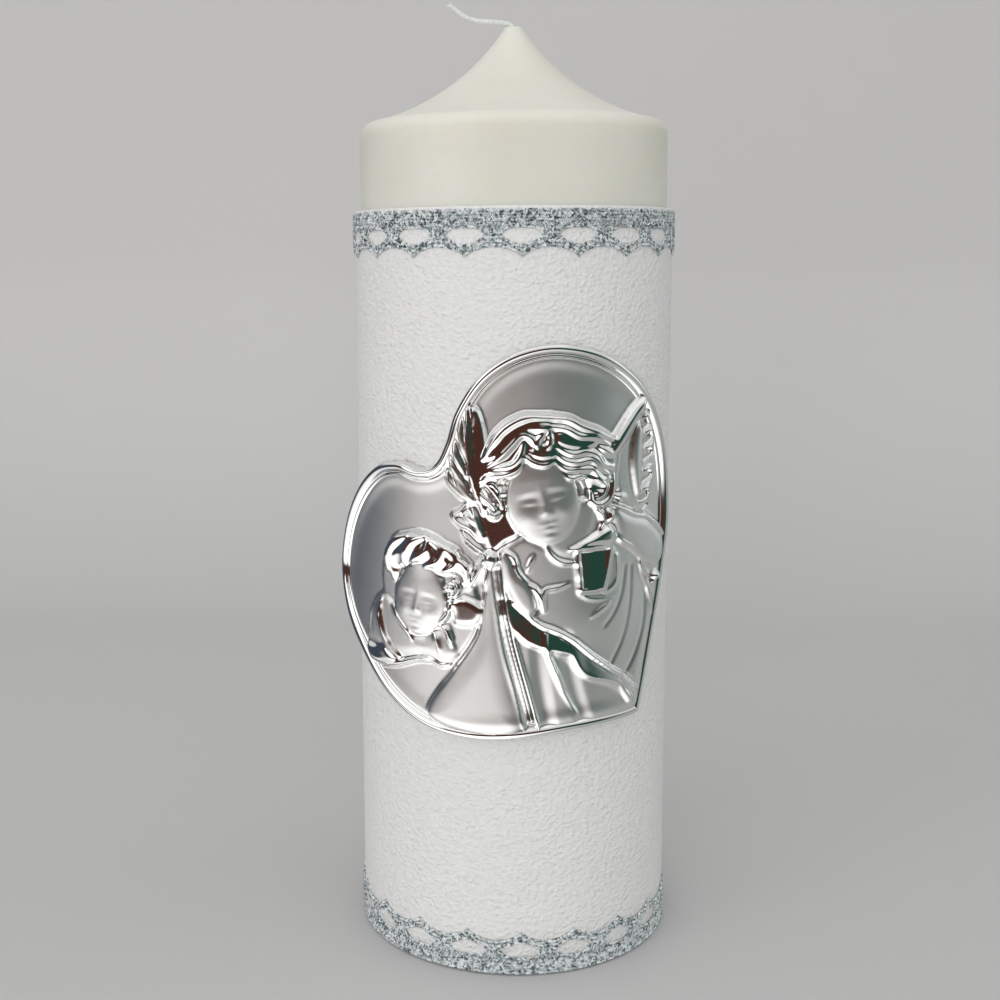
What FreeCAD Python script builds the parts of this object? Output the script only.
"""Unity candle: a pillar candle with a cloth sleeve, two lace bands and a heart-shaped plaque.

Millimetres. +Z is up, the origin is the middle of the candle's flat base, and -Y is the front.
Each sub-part is one object of the document, and each is written to parts/ as its own STEP file.
"""
import FreeCAD, Part
import math
import os
import Sketcher

doc = FreeCAD.newDocument("unity_candle")
V = FreeCAD.Vector
X_AXIS = V(1, 0, 0)
Z_AXIS = V(0, 0, 1)

# ---------------------------------------------------------------- driving dimensions
DIMS = [
    ("wax_radius", 35.0),           # the pillar is 70 mm across
    ("wax_height", 209.7),          # base to the flat tip
    ("rim_height", 185.0),          # where the side starts to round over
    ("cone_radius", 31.8),          # where the hollow cone starts
    ("cone_height", 188.5),
    ("tip_radius", 1.9),
    ("bore_radius", 0.7),           # the hole that the wick fills
    ("recess_radius", 10.0),        # the base recess for the wick tab
    ("recess_depth", 0.5),
    ("neck_radius", 1.3),           # the wick tab's crimped neck
    ("neck_top", 5.0),
    ("tab_radius", 9.8),
    ("wick_radius", 0.68),
    ("wrap_inner", 35.2),           # the tape under the sleeve is 0.2 mm thick
    ("wrap_outer", 36.4),
    ("wrap_bottom", 0.4),
    ("wrap_length", 168.4),
    ("seam_gap", 0.5),
    ("tape_width", 18.0),
    ("lace_outer", 37.1),
    ("lace_width", 9.8),
    ("upper_lace_top", 168.2),
    ("lower_lace_bottom", 0.4),
    ("scallops", 19),
    ("plate_radius", 43.0),         # the plaque is bent less tightly than the candle
    ("plate_front", 38.6),          # from the candle's axis to the plaque's field
    ("plate_azimuth", -8.0),
    ("silver_thickness", 0.3),
    ("rim_rise", 1.2),              # the polished rim stands above the field
    ("relief_rise", 1.0),
    ("side_wall", 0.4),
    ("plate_depth", 4.6),           # the most that the plaque's side reaches back
    ("rim_width", 2.3),
    ("pad_outer", 36.7),            # the adhesive pad on the sleeve is 0.3 mm thick
]
size = dict(DIMS)
sheet = doc.addObject("Spreadsheet::Sheet", "Dims")
for row, (alias, value) in enumerate(DIMS, start=1):
    sheet.set("A%d" % row, alias)
    sheet.set("B%d" % row, str(value))
    sheet.setAlias("B%d" % row, alias)
doc.recompute()


# ---------------------------------------------------------------- helpers
def bind(thing, prop, expression):
    """Bind a property to the spreadsheet; a bare word is one of its aliases."""
    thing.setExpression(prop, expression if "." in expression else "Dims." + expression)


def body(name):
    """A PartDesign body whose label is the sub-part's name."""
    made = doc.addObject("PartDesign::Body", name)
    made.Label = name
    return made


def sketch_on(owner, role, name):
    """A sketch on one of the body's origin planes."""
    made = owner.newObject("Sketcher::SketchObject", name)
    plane = [p for p in owner.Origin.OriginFeatures if p.Role == role][0]
    made.AttachmentSupport = [(plane, "")]
    made.MapMode = "FlatFace"
    return made


def circle(sketch, alias):
    """A circle about the sketch's origin with its radius bound to the spreadsheet."""
    index = sketch.addGeometry(Part.Circle(V(0, 0, 0), Z_AXIS, size[alias]), False)
    sketch.addConstraint(Sketcher.Constraint("Coincident", index, 3, -1, 1))
    number = sketch.addConstraint(Sketcher.Constraint("Radius", index, size[alias]))
    bind(sketch, "Constraints[%d]" % number, alias)


def fix_coordinate(sketch, kind, index, end, value):
    """Hold one coordinate of an edge's end: 0, a number, or a spreadsheet alias."""
    if value == 0:
        axis = -1 if kind == "DistanceY" else -2
        sketch.addConstraint(Sketcher.Constraint("PointOnObject", index, end, axis))
        return
    number = size[value] if isinstance(value, str) else value
    made = sketch.addConstraint(Sketcher.Constraint(kind, index, end, number))
    if isinstance(value, str):
        bind(sketch, "Constraints[%d]" % made, value)


def profile(sketch, corners, bulges=None):
    """A closed outline. bulges maps an edge's number to the middle point of its arc."""
    bulges = bulges or {}
    points = [V(*[size[c] if isinstance(c, str) else c for c in corner], 0) for corner in corners]
    count = len(points)
    for i in range(count):
        start, end = points[i], points[(i + 1) % count]
        if i in bulges:
            sketch.addGeometry(Part.Arc(start, V(*bulges[i], 0), end), False)
        else:
            sketch.addGeometry(Part.LineSegment(start, end), False)
    ends = []
    for i in range(count):
        middle = V(*bulges[i], 0) if i in bulges else None
        turns_left = True
        if middle:
            a, b = middle - points[i], points[(i + 1) % count] - middle
            turns_left = a.x * b.y - a.y * b.x > 0
        ends.append((1, 2) if turns_left else (2, 1))
    for i in range(count):
        after = (i + 1) % count
        sketch.addConstraint(Sketcher.Constraint("Coincident", i, ends[i][1], after, ends[after][0]))
        fix_coordinate(sketch, "DistanceX", i, ends[i][0], corners[i][0])
        fix_coordinate(sketch, "DistanceY", i, ends[i][0], corners[i][1])


def pad(owner, sketch, name, alias, start=0.0):
    """Pad a sketch by a bound length, starting at a height above its plane."""
    made = owner.newObject("PartDesign::Pad", name)
    made.Profile = sketch
    bind(made, "Length", alias)
    if start:
        sketch.AttachmentOffset = FreeCAD.Placement(V(0, 0, start), FreeCAD.Rotation())
    sketch.Visibility = False
    return made


def revolve(owner, sketch, name):
    """Turn a sketch on the XZ plane once round the candle's axis."""
    made = owner.newObject("PartDesign::Revolution", name)
    made.Profile = sketch
    made.ReferenceAxis = (sketch, ["V_Axis"])
    made.Angle = 360.0
    return made


# ---------------------------------------------------------------- wax pillar
wax = body("wax_pillar")
wax_profile = sketch_on(wax, "XZ_Plane", "wax_profile")
profile(wax_profile, [
    ("recess_radius", 0),
    ("wax_radius", 0),
    ("wax_radius", "rim_height"),
    ("cone_radius", "cone_height"),
    ("tip_radius", "wax_height"),
    ("bore_radius", "wax_height"),
    ("bore_radius", "neck_top"),
    ("neck_radius", "neck_top"),
    ("neck_radius", "recess_depth"),
    ("recess_radius", "recess_depth"),
], {2: (34.1, 187.5), 3: (12.8, 198.0)})
revolve(wax, wax_profile, "wax_turned")

# ---------------------------------------------------------------- wick and its metal tab
wick = body("wick")
wick_path = sketch_on(wick, "XZ_Plane", "wick_path")
wick_path.addGeometry(Part.LineSegment(V(0, 0.6, 0), V(0, 209.1, 0)), False)
wick_path.addGeometry(Part.Arc(V(0, 209.1, 0), V(-0.41, 210.09, 0), V(-1.4, 210.5, 0)), False)
free_end = Part.BSplineCurve()
free_end.interpolate(
    Points=[V(-1.4, 210.5, 0), V(-4.6, 210.9, 0), V(-8.0, 211.2, 0), V(-11.0, 212.2, 0), V(-14.6, 214.9, 0)],
    Tangents=[V(-3.2, 0, 0), V(-3.3, 0.4, 0), V(-3.2, 0.5, 0), V(-3.0, 1.6, 0), V(-3.4, 3.0, 0)],
    TangentFlags=[True] * 5)
wick_path.addGeometry(free_end, False)
wick_path.addConstraint(Sketcher.Constraint("Coincident", 0, 2, 1, 1))
wick_path.addConstraint(Sketcher.Constraint("Coincident", 1, 2, 2, 1))
wick_section = sketch_on(wick, "XY_Plane", "wick_section")
wick_section.AttachmentOffset = FreeCAD.Placement(V(0, 0, 0.6), FreeCAD.Rotation())
circle(wick_section, "wick_radius")
wick_pipe = wick.newObject("PartDesign::AdditivePipe", "wick_pipe")
wick_pipe.Profile = wick_section
wick_pipe.Spine = (wick_path, ["Edge1", "Edge2", "Edge3"])

tab = body("wick_tab")
tab_profile = sketch_on(tab, "XZ_Plane", "tab_profile")
profile(tab_profile, [
    (0, 0),
    ("tab_radius", 0),
    ("tab_radius", "recess_depth"),
    ("neck_radius", "recess_depth"),
    ("neck_radius", "neck_top"),
    ("wick_radius", "neck_top"),
    ("wick_radius", "recess_depth"),
    (0, "recess_depth"),
])
revolve(tab, tab_profile, "tab_turned")


# ---------------------------------------------------------------- sleeve and its tape
def ring(name, inner, outer, length, bottom):
    """A plain ring standing on the height bottom."""
    made = body(name)
    section = sketch_on(made, "XY_Plane", name + "_section")
    circle(section, outer)
    circle(section, inner)
    pad(made, section, name + "_pad", length, size[bottom] if isinstance(bottom, str) else bottom)
    return made


sleeve = ring("leatherette_sleeve", "wrap_inner", "wrap_outer", "wrap_length", "wrap_bottom")
seam = sketch_on(sleeve, "XY_Plane", "seam_section")
half_gap = size["seam_gap"] / 2
profile(seam, [(-half_gap, 34.0), (half_gap, 34.0), (half_gap, 38.0), (-half_gap, 38.0)])
seam_cut = sleeve.newObject("PartDesign::Pocket", "seam_cut")
seam_cut.Profile = seam
seam_cut.Type = "ThroughAll"
seam_cut.Midplane = True

tape_upper = ring("tape_upper", "wax_radius", "wrap_inner", "tape_width", 148.0)
tape_lower = ring("tape_lower", "wax_radius", "wrap_inner", "tape_width", 3.0)


# ---------------------------------------------------------------- lace bands
def lace_band(name, bottom, points_up):
    """A ring of lace with one row of scallops and one row of boat-shaped holes."""
    made = ring(name, "wrap_outer", "lace_outer", "lace_width", bottom)
    top = bottom + size["lace_width"]

    def up(distance):
        """A height measured in from the scalloped edge's far side."""
        return bottom + distance if points_up else top - distance

    pitch = 2 * math.pi * size["lace_outer"] / size["scallops"]
    post = pitch / 2
    notch = sketch_on(made, "XZ_Plane", name + "_notch")
    profile(notch, [(-post + 1.2, up(10.3)), (-post + 1.2, up(9.2)), (post - 1.2, up(9.2)), (post - 1.2, up(10.3))],
            {1: (0, up(7.8))})
    hole = sketch_on(made, "XZ_Plane", name + "_hole")
    profile(hole, [(post - 4.0, up(4.2)), (post + 4.0, up(4.2))], {0: (post, up(7.1))})
    cuts = []
    for section in (notch, hole):
        cut = made.newObject("PartDesign::Pocket", section.Name + "_cut")
        cut.Profile = section
        cut.Type = "ThroughAll"
        cuts.append(cut)
    doc.recompute()
    full = made.Shape.Volume
    if full <= 0:
        raise ValueError(name + " has no volume")
    pattern = made.newObject("PartDesign::PolarPattern", name + "_pattern")
    pattern.Originals = cuts
    pattern.Axis = ([a for a in made.Origin.OriginFeatures if a.Role == "Z_Axis"][0], [""])
    pattern.Angle = 360.0
    pattern.Occurrences = int(size["scallops"])
    bind(pattern, "Occurrences", "scallops")
    made.Tip = pattern
    made.Placement = FreeCAD.Placement(V(0, 0, 0), FreeCAD.Rotation(Z_AXIS, 3.0 - 180.0 / size["scallops"]))
    return made


upper_lace = lace_band("upper_lace", size["upper_lace_top"] - size["lace_width"], False)
lower_lace = lace_band("lower_lace", size["lower_lace_bottom"], True)

# ---------------------------------------------------------------- plaque
FACING = FreeCAD.Rotation(Z_AXIS, size["plate_azimuth"]).multiply(FreeCAD.Rotation(X_AXIS, 90))
OUTWARD = FACING.multVec(Z_AXIS)
PLATE_AXIS = OUTWARD * (size["plate_front"] - size["plate_radius"])


def closed_spline(points, closed):
    """A smooth curve through points; closed joins its ends smoothly, otherwise they form a corner."""
    curve = Part.BSplineCurve()
    if closed:
        curve.interpolate(Points=[V(x, z, 0) for x, z in points], PeriodicFlag=True)
    else:
        curve.interpolate(Points=[V(x, z, 0) for x, z in points + points[:1]])
    return curve


def outline(name, points, closed=True, start=0.0):
    """A sketch facing the plaque's front: its x runs round the candle and its y is the height."""
    made = doc.addObject("Sketcher::SketchObject", name)
    made.addGeometry(closed_spline(points, closed), False)
    made.Placement = FreeCAD.Placement(OUTWARD * start, FACING)
    return made


def prism(name, base, reach=60.0):
    """Extrude an outline from the candle's axis straight out through the plaque."""
    made = doc.addObject("Part::Extrusion", name)
    made.Base = base
    made.DirMode = "Custom"
    made.Dir = OUTWARD
    made.LengthFwd = reach
    made.Solid = True
    return made


def inset(points, distance):
    """Points on an outline moved inwards, keeping its one corner where the list starts."""
    curve = closed_spline(points, False)
    first, last = curve.FirstParameter, curve.LastParameter
    leaving, arriving = curve.tangent(first)[0], curve.tangent(last)[0]
    inwards = (leaving - arriving).normalize()
    corner = curve.value(first) + inwards * (distance / inwards.cross(leaving).Length)
    moved = [(corner.x, corner.y)]
    steps = 48
    for i in range(1, steps):
        at = first + (last - first) * i / steps
        along = curve.tangent(at)[0]
        place = curve.value(at) + V(-along.y, along.x, 0) * distance
        nearest = curve.value(curve.parameter(place))
        if nearest.distanceToPoint(place) > distance * 0.98:
            moved.append((place.x, place.y))
    return moved


def plate_cylinder(name, expression):
    """A cylinder about the plaque's own axis."""
    made = doc.addObject("Part::Cylinder", name)
    bind(made, "Radius", expression)
    made.Height = 120
    made.Placement = FreeCAD.Placement(PLATE_AXIS + V(0, 0, 40), FreeCAD.Rotation())
    return made


def candle_cylinder(name, alias):
    """A cylinder about the candle's axis."""
    made = doc.addObject("Part::Cylinder", name)
    bind(made, "Radius", alias)
    made.Height = 120
    made.Placement = FreeCAD.Placement(V(0, 0, 40), FreeCAD.Rotation())
    return made


def boolean(kind, name, first, *others):
    """A Part boolean. Cut and Common take two shapes, and Fuse takes any number."""
    if kind == "Fuse":
        made = doc.addObject("Part::MultiFuse", name)
        made.Shapes = [first] + list(others)
    else:
        made = doc.addObject("Part::" + kind, name)
        made.Base = first
        made.Tool = others[0]
    return made


# The heart leans to the left: its point is at the lower right and its notch at the upper left.
HEART = [
    (31.0, 59.4), (32.3, 67.0), (33.8, 77.5), (35.6, 90.0), (36.6, 103.0), (35.3, 118.5), (31.6, 130.5),
    (24.5, 137.8), (14.9, 140.5), (6.0, 138.9), (-1.5, 134.0), (-6.6, 126.5), (-8.8, 119.6), (-11.3, 115.0),
    (-15.5, 113.9), (-20.5, 114.2), (-26.0, 112.0), (-31.8, 106.2), (-36.0, 97.5), (-37.5, 88.0),
    (-35.6, 78.2), (-30.0, 69.5), (-23.0, 62.0), (-14.5, 57.4), (-5.0, 55.6), (5.0, 55.8), (17.0, 57.4), (28.5, 58.6),
]
heart = outline("heart_outline", HEART, closed=False)
heart_prism = prism("heart_prism", heart)
resin_prism = prism("resin_prism", outline("resin_outline", inset(HEART, size["side_wall"]), closed=False))
field_prism = prism("field_prism", outline("field_outline", inset(HEART, size["rim_width"]), closed=False))
pad_prism = prism("pad_prism", outline("pad_outline", inset(HEART, 2 * size["rim_width"]), closed=False))

resin_blank = boolean("Common", "resin_blank", resin_prism,
                      plate_cylinder("resin_face", "Dims.plate_radius - Dims.silver_thickness"))
back_hollow = boolean("Fuse", "back_hollow", candle_cylinder("pad_face", "pad_outer"),
                      plate_cylinder("back_face", "Dims.plate_radius - Dims.plate_depth"))
resin = boolean("Cut", "plaque_resin_back", resin_blank, back_hollow)

adhesive_blank = boolean("Common", "adhesive_blank", pad_prism, candle_cylinder("pad_front", "pad_outer"))
adhesive = boolean("Cut", "plaque_adhesive_pad", adhesive_blank, candle_cylinder("sleeve_face", "wrap_outer"))

rim_blank = boolean("Common", "rim_blank", heart_prism,
                    plate_cylinder("rim_face", "Dims.plate_radius + Dims.rim_rise"))
field_above = boolean("Cut", "field_above", field_prism, plate_cylinder("field_face", "plate_radius"))
plate_solid = boolean("Cut", "plate_solid", rim_blank, field_above)


# Raised figures, as plain plateaus and domes: an angel with two wings, a lantern and a sleeping child.
def plateau(name, points, share):
    """A flat-topped raised area that follows the plate, as high as a share of the relief's rise."""
    column = prism(name + "_column", outline(name + "_outline", points, start=10 + 5 * share))
    return boolean("Common", name, column,
                   plate_cylinder(name + "_face", "Dims.plate_radius + Dims.relief_rise * %g" % share))


def dome(name, across, height, half_width, half_height, rise, tilt=0.0):
    """An ellipsoid sunk in the plate, rise above its face, turned by tilt in the plate's face."""
    made = doc.addObject("Part::Ellipsoid", name)
    made.Radius1 = rise + 1.0
    made.Radius2 = half_width
    made.Radius3 = half_height
    turn = math.degrees(math.asin(across / size["plate_radius"]))
    facing = FreeCAD.Rotation(Z_AXIS, turn).multiply(FACING)
    facing = facing.multiply(FreeCAD.Rotation(Z_AXIS, tilt))
    out = FreeCAD.Rotation(Z_AXIS, turn).multVec(OUTWARD)
    place = PLATE_AXIS + out * (size["plate_radius"] - 1.0) + V(0, 0, height)
    made.Placement = FreeCAD.Placement(place, facing)
    return made


figures = [
    plateau("left_wing", [(-6.5, 127.5), (-3.5, 118.0), (-3.0, 105.0), (-1.5, 96.0), (-7.0, 99.0),
                          (-9.5, 106.0), (-9.5, 118.0)], 1.0),
    plateau("right_wing", [(29.0, 128.5), (31.5, 122.0), (31.5, 107.0), (28.0, 103.5), (21.0, 108.0),
                            (20.0, 119.0)], 0.9),
    plateau("angel_robe", [(-2.0, 96.5), (4.0, 101.0), (14.0, 105.0), (26.0, 104.0), (33.5, 97.0), (33.0, 88.0),
                           (30.5, 76.0), (28.5, 63.5), (14.0, 63.0), (-4.0, 62.5), (-14.0, 62.5), (-5.5, 78.0)], 0.8),
    plateau("child_wrap", [(-28.0, 84.0), (-24.0, 92.0), (-10.0, 92.0), (-3.5, 84.0), (-7.0, 75.0), (-15.0, 71.5),
                           (-25.0, 70.0), (-29.5, 74.0)], 0.7),
    dome("angel_hair", 11.0, 115.5, 14.0, 10.5, 1.8),
    dome("angel_face", 9.0, 106.5, 8.0, 9.0, 2.0, 8.0),
    dome("child_hair", -16.0, 92.5, 9.8, 8.0, 1.8, -12.0),
    dome("child_face", -17.0, 85.0, 6.6, 8.0, 2.0, -10.0),
    dome("lantern", 18.5, 92.0, 4.5, 6.0, 1.6),
]
embossed = boolean("Fuse", "embossed_solid", plate_solid, *figures)
shell_open = boolean("Cut", "shell_open", embossed, back_hollow)
plaque = boolean("Cut", "plaque_silver_face", shell_open, resin_blank)

# ---------------------------------------------------------------- build, check and export
NODES = [wax, wick, tab, tape_upper, tape_lower, sleeve, upper_lace, lower_lace, adhesive, resin, plaque]
doc.recompute()
os.makedirs("parts", exist_ok=True)
for thing in doc.Objects:
    if "Invalid" in thing.State or "Error" in thing.State:
        raise ValueError("%s did not compute: %s" % (thing.Name, thing.State))
for node in NODES:
    shape = node.Shape
    if shape.isNull() or not shape.isValid() or not shape.Solids:
        raise ValueError(node.Label + " is not a valid solid")
    box = shape.BoundBox
    print("%-20s solids %d volume %9.1f  x %.1f %.1f  y %.1f %.1f  z %.1f %.1f" % (
        node.Label, len(shape.Solids), shape.Volume, box.XMin, box.XMax, box.YMin, box.YMax, box.ZMin, box.ZMax))
    shape.exportStep("parts/%s.step" % node.Label)
